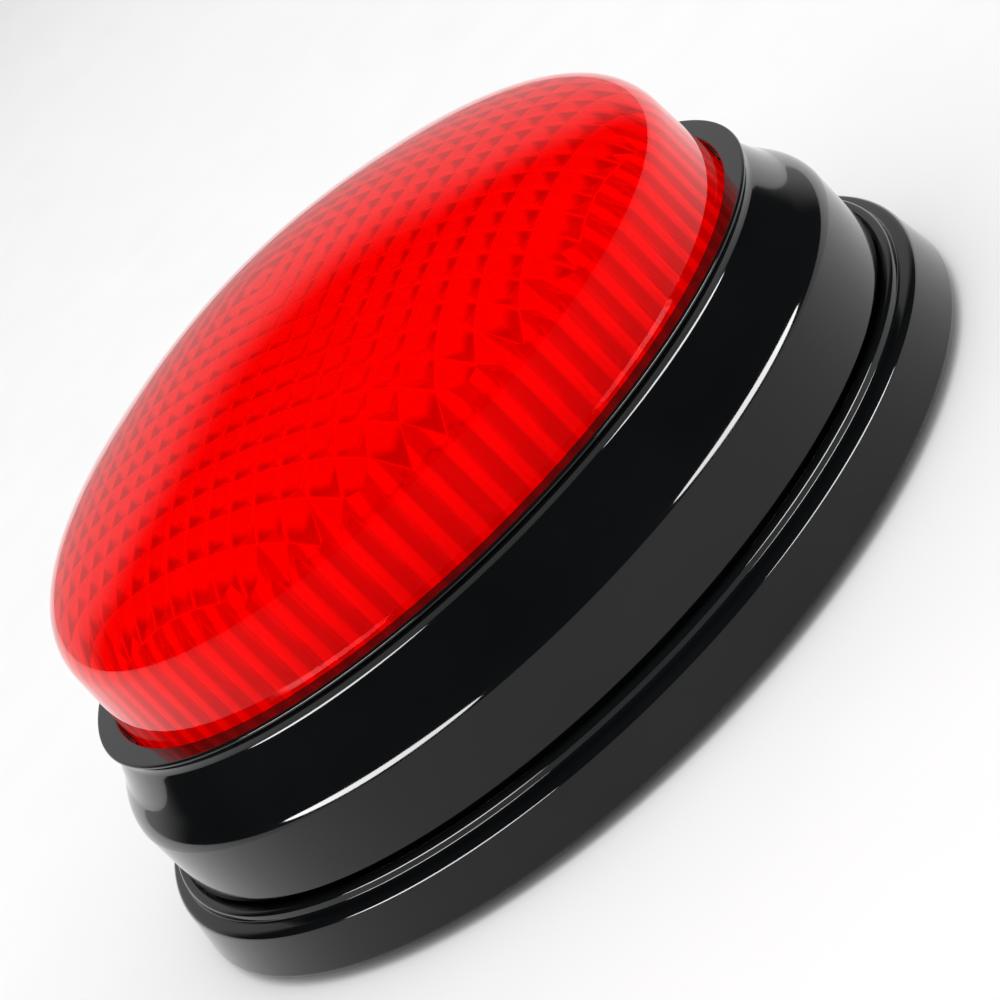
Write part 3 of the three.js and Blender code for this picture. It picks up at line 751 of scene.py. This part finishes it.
def rubber_foot(name, place):
    """A round pad with a raised ring and a rounded edge."""
    outline = [(0, 0.3), (1.1, 0.3), (1.3, 0), (2.1, 0), (2.3, 0.3), (2.7, 0.3), (2.9, 0)]
    outline += [(3.5, 0)] + bezier((3.5, 0), (3.95, 0.02), (4.0, 0.5), steps=8) + [(4.0, 1.5), (0, 1.5)]
    return painted(smooth(revolve(name, outline, 72, (*place, 0)), 40), RUBBER)


def press_plate():
    """The white cup under the lens, with LED windows, switch hub and guide pins."""
    corners = [
        (0, 26.3, 0), (31.0, 26.3, 0), (31.0, 17.9, 0), (34.6, 17.9, 0.2), (34.6, 19.7, 0.3),
        (32.4, 19.7, 0.4), (32.4, 27.8, 0.5), (0, 27.8, 0),
    ]
    cup = revolve("press_plate_cup", rounded(corners, 15), 144)
    join(cup, *[cylinder(1.4, 9.2, 18.5, on_circle(*at), 32) for at in PINS])
    join(cup, cylinder(3.0, 25.75, 27, (0, 0)))
    cut(cup, *[cylinder(4.6, 25, 29, on_circle(*at), 64) for at in LEDS])
    return painted(smooth(cup, 40), WHITE_PLASTIC)


def diffuser():
    """The frosted disc, with fine concentric rings moulded into its top."""
    outline = [(0, 28.1), (32.0, 28.1), (32.0, 29.0), (31.8, 29.25)]
    for radius in np.arange(31.4, 1, -1.2):
        outline += [(radius, 29.4), (radius - 0.6, 29.25)]
    return painted(smooth(revolve("diffuser_disc", outline + [(0, 29.4)], 144), 30), FROSTED)


def battery_cell(name, middle, row, flip):
    """A cylindrical cell along X: wrapped jacket with a contrasting band, crimped steel ends."""
    half, radius, end_radius, band = 22.25, 5.25, 4.75, 12
    outline = [(0, -half + 0.15), (3.2, -half + 0.15), (3.5, -half), (4.4, -half), (4.7, -half + 0.25)]
    outline += [(5.05, -half + 0.35), (radius, -half + 0.7), (radius, half - 1.55), (5.05, half - 1.2)]
    outline += [(4.6, half - 1.25), (4.3, half - 1.45), (2.5, half - 1.45), (1.95, half - 1.1)]
    outline += [(1.9, half - 0.25), (1.7, half - 0.02), (0, half)]
    cell = painted(smooth(revolve(name, outline, 96), 32), JACKET, BAND, STEEL)
    for face in cell.data.polygons:
        x, y, z = face.center / MM
        on_side = math.hypot(x, y) > end_radius
        face.material_index = 2 if not on_side else 1 if z > half - band else 0
    turned(cell, Matrix.Rotation(math.radians(-90 if flip else 90), 4, "Y"), (middle, row, CELL_HEIGHT))
    return cell


def speaker_parts():
    """Steel basket with vents, paper cone with a rolled edge and dust cap, ring magnet, foam gasket."""
    at = (0, SPEAKER_Y, 0)
    basket = revolve("speaker_basket", rounded([
        (11.9, 4.1, 0.1), (14.2, 4.1, 0.2), (14.2, 4.9, 0.3), (12.7, 5.2, 0.4), (8.4, 7.8, 0.4),
        (3.0, 7.8, 0), (3.0, 7.2, 0), (8.0, 7.2, 0.4), (12.0, 4.7, 0.2),
    ]), 96, at)
    for k in range(6):
        x, y = on_circle(10.6, 60 * k)
        cut(basket, cylinder(1.5, 3, 9, (x, y + SPEAKER_Y), 32))
    roll = [(11.5 - 0.2 * k, 4.3 + 0.3 * math.sin(math.pi * k / 6)) for k in range(7)]
    top = [(r, z + 0.2) for r, z in roll] + [(4.0, 6.4), (2.6, 5.6), (1.4, 5.35), (0, 5.25)]
    low = [(0, 4.95), (1.4, 5.05), (2.7, 5.25), (4.0, 6.0)] + [(r, z - 0.15) for r, z in reversed(roll)]
    cone = revolve("speaker_diaphragm", top + low, 96, at)
    magnet = revolve("speaker_ring_magnet", rounded([
        (0, 8.1, 0), (6.5, 8.1, 0.3), (6.5, 10.3, 0.4), (1.8, 10.3, 0.2), (1.6, 9.9, 0), (0, 9.9, 0),
    ]), 72, at)
    gasket = revolve("speaker_foam_ring", rounded([
        (12.2, 3.3, 0.12), (14.2, 3.3, 0.12), (14.2, 3.8, 0.12), (12.2, 3.8, 0.12),
    ]), 96, at)
    return [
        (painted(smooth(basket, 40), DARK_STEEL), "speaker_frame", "speaker_steel"),
        (painted(smooth(cone, 60), PAPER), "speaker_cone", "speaker_paper"),
        (painted(smooth(magnet, 40), DARK_STEEL), "speaker_magnet", "speaker_steel"),
        (painted(smooth(gasket, 40), FOAM), "speaker_gasket", "gasket_foam"),
    ]


def switch_knob():
    """The power switch's slider with four grip grooves."""
    x, y = SWITCH
    knob = block((x - 1.2, x + 1.2), (y - 3, y), (1.3, 5.4), 0.25)
    knob.name = "power_slider"
    for k in range(1, 5):
        groove = y - 3 + 0.55 * k
        cut(knob, block((x - 2, x + 2), (groove, groove + 0.28), (1.0, 1.6)))
    return painted(smooth(knob, 40), WHITE_PLASTIC)


def board_light(name, place):
    """A clear LED: flanged epoxy body with a domed top."""
    dome = [(2.5 * math.cos(a), 3.4 + 2.3 * math.sin(a)) for a in np.linspace(0, math.pi / 2, 10)]
    outline = [(0, 0), (2.9, 0), (2.9, 0.9), (2.8, 1.0), (2.5, 1.0)] + dome[:-1] + [(0, 5.7)]
    return painted(smooth(revolve(name, outline, 48, (*place, ON_BOARD)), 40), CLEAR)


# ------------------------------------------------------------------ assembly

BLACK_PARTS = bpy.data.collections.new("black_parts")


def fit(thing, node, body="housing"):
    """Puts a detailed piece in its CAD node's place."""
    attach(thing, body)
    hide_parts(node)


fit(dome_cap(), "dome_cap", "button")
SHELLS = {"upper_housing": upper_housing, "collar_ring": collar, "base_shell": base_shell}
for node, make in SHELLS.items():
    thing = make()
    fit(painted(thing, GLOSS_BLACK), node, "housing")
    BLACK_PARTS.objects.link(thing)
fit(painted(battery_door(), GLOSS_BLACK), "battery_door", "battery_door")
fit(press_plate(), "press_plate", "button")
fit(diffuser(), "light_diffuser", "button")
fit(switch_knob(), "slide_switch_knob", "power_knob")

for i, at in enumerate(FEET, 1):
    fit(rubber_foot(f"foot_pad_{i}", on_circle(*at)), f"rubber_foot_{i}")
for i, at in enumerate(HOUSING_SCREWS, 1):
    piece = turned(screw(f"long_screw_{i}", 2.4, 1.6, 1.1, 7.4), Matrix(), (*on_circle(*at), 3.1))
    fit(piece, f"housing_screw_{i}")
for i, at in enumerate(BOARD_SCREWS, 1):
    upright = Matrix.Rotation(math.pi, 4, "X")
    piece = screw(f"short_screw_{i}", 2.0, 1.3, 0.85, 5.4, 0.5)
    turned(piece, upright, (*on_circle(*at), ON_BOARD))
    fit(piece, f"board_screw_{i}")
fit(
    turned(screw("captive_screw", 2.3, 1.1, 1.1, 3.6, 0.5), Matrix(), (*DOOR_SCREW, 2.4)),
    "door_screw", "battery_door",
)

for i, at in enumerate(PINS, 1):
    spring = painted(coil(f"lift_spring_{i}", 2.15, 2.15, 0.25, SPRING_HEIGHT, 5), STEEL)
    x, y = on_circle(*at)
    fit(turned(spring, Matrix(), (x, y, SPRING_FOOT)), f"return_spring_{i}")
    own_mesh(spring)
for i, (side, row) in enumerate(((1, CELL_ROWS[0]), (-1, CELL_ROWS[1])), 1):
    spring = painted(coil(f"cone_spring_{i}", 3.4, 1.8, 0.25, 2.4, 3), STEEL)
    lying = Matrix.Rotation(math.radians(-90 * side), 4, "Y")
    fit(turned(spring, lying, (side * 23.7, row, CELL_HEIGHT)), f"battery_spring_{i}")
    piece = battery_cell(f"dry_cell_{i}", -side * 1.45, row, flip=side > 0)
    fit(piece, f"battery_cell_{i}")

for thing, node, finish in speaker_parts():
    fit(thing, node)
for i, at in enumerate(LEDS, 1):
    fit(board_light(f"board_light_{i}", on_circle(*at)), f"led_{i}")

CARRIED = {
    "circuit_board": BOARD,
    "tact_switch_body": SATIN_BLACK,
    "tact_switch_stem": WHITE_PLASTIC,
    "sound_chip": SATIN_BLACK,
    "capacitor": SATIN_BLACK,
    "transistor": SATIN_BLACK,
    "resistor_1": RESISTOR,
    "resistor_2": RESISTOR,
    "resistor_3": RESISTOR,
    "contact_bridge": STEEL,
    "contact_positive": STEEL,
    "contact_negative": STEEL,
    "slide_switch_body": SATIN_BLACK,
    "battery_wire_red": RED_WIRE,
    "battery_wire_black": BLACK_WIRE,
    "speaker_wire_red": RED_WIRE,
    "speaker_wire_black": BLACK_WIRE,
    "switch_wire_red": RED_WIRE,
    "switch_wire_black": BLACK_WIRE,
}
for name, material in CARRIED.items():
    painted(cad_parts[name], material)

# ------------------------------------------------------------------ camera, light and floor

CAMERA_LENS = 92.2
CAMERA_PLACE = (0, -0.2254, 0.086)
CAMERA_YAW, CAMERA_DOWN, CAMERA_ROLL = math.radians(-0.37), math.radians(18.58), math.radians(-45)

camera_data = bpy.data.cameras.new("camera")
camera_data.lens = CAMERA_LENS
camera_data.clip_start = 0.01
camera = bpy.data.objects.new("camera", camera_data)
bpy.context.scene.collection.objects.link(camera)
bpy.context.scene.camera = camera
camera.matrix_world = (
    Matrix.Translation(CAMERA_PLACE)
    @ Matrix.Rotation(CAMERA_YAW, 4, "Z")
    @ Matrix.Rotation(math.radians(90) - CAMERA_DOWN, 4, "X")
    @ Matrix.Rotation(CAMERA_ROLL, 4, "Z")
)

FLOOR_RADIUS = 3.0
bpy.ops.mesh.primitive_circle_add(vertices=96, radius=FLOOR_RADIUS, fill_type="NGON", location=(0, 0, 0))
floor = bpy.context.object
floor.name = "floor"
floor.data.materials.append(FLOOR)


def panel(name, place, target, size, power, glossy=True):
    """An elliptical lamp that looks at the target; places and sizes are in metres."""
    data = bpy.data.lights.new(name, "AREA")
    data.shape = "ELLIPSE"
    data.size, data.size_y = size
    data.energy = power
    lamp = bpy.data.objects.new(name, data)
    bpy.context.scene.collection.objects.link(lamp)
    lamp.location = place
    lamp.rotation_euler = (Vector(target) - Vector(place)).to_track_quat("-Z", "Y").to_euler()
    lamp.visible_glossy = glossy
    return lamp


STRIP_ANGLE, STRIP_HEIGHT = math.radians(60), math.radians(8)
STRIP_DISTANCE = 0.9
for name, side in (("strip_left", -1), ("strip_right", 1)):
    x, y = side * math.sin(STRIP_ANGLE), -math.cos(STRIP_ANGLE)
    place = Vector((x, y, math.tan(STRIP_HEIGHT))) * STRIP_DISTANCE
    strip = panel(name, place, (0, 0, 0.02), (1.04, 0.16), 12)
    strip.light_linking.receiver_collection = BLACK_PARTS
panel("overhead", (0, 0, 1.5), (0, 0, 0), (1.6, 1.6), 10, glossy=False)


def studio_world():
    """White light all round for matt surfaces, while gloss mirrors white only low down and behind."""
    world = bpy.data.worlds.new("studio")
    bpy.context.scene.world = world
    world.use_nodes = True
    nodes, links = world.node_tree.nodes, world.node_tree.links

    def mix(factor, a, b):
        node = nodes.new("ShaderNodeMix")
        links.new(factor, node.inputs["Factor"])
        for socket, value in (("A", a), ("B", b)):
            if isinstance(value, float):
                node.inputs[socket].default_value = value
            else:
                links.new(value, node.inputs[socket])
        return node.outputs[0]

    nodes["Background"].inputs["Color"].default_value = (1, 1, 1, 1)
    split = nodes.new("ShaderNodeSeparateXYZ")
    links.new(nodes.new("ShaderNodeTexCoord").outputs["Generated"], split.inputs[0])
    backdrop = smooth_step(nodes, links, split.outputs["Y"], 0.6, 0.82)
    bright = smooth_step(nodes, links, split.outputs["Z"], 0.42, 0.62, 0.42, 0.0)
    mirrored = mix(backdrop, 0.01, bright)
    path = nodes.new("ShaderNodeLightPath")
    reflection = nodes.new("ShaderNodeMath")
    reflection.operation = "SUBTRACT"
    reflection.use_clamp = True
    links.new(path.outputs["Is Glossy Ray"], reflection.inputs[0])
    links.new(path.outputs["Is Transmission Ray"], reflection.inputs[1])
    links.new(mix(reflection.outputs[0], 0.85, mirrored), nodes["Background"].inputs["Strength"])


studio_world()

bpy.context.scene.view_settings.view_transform = "Standard"
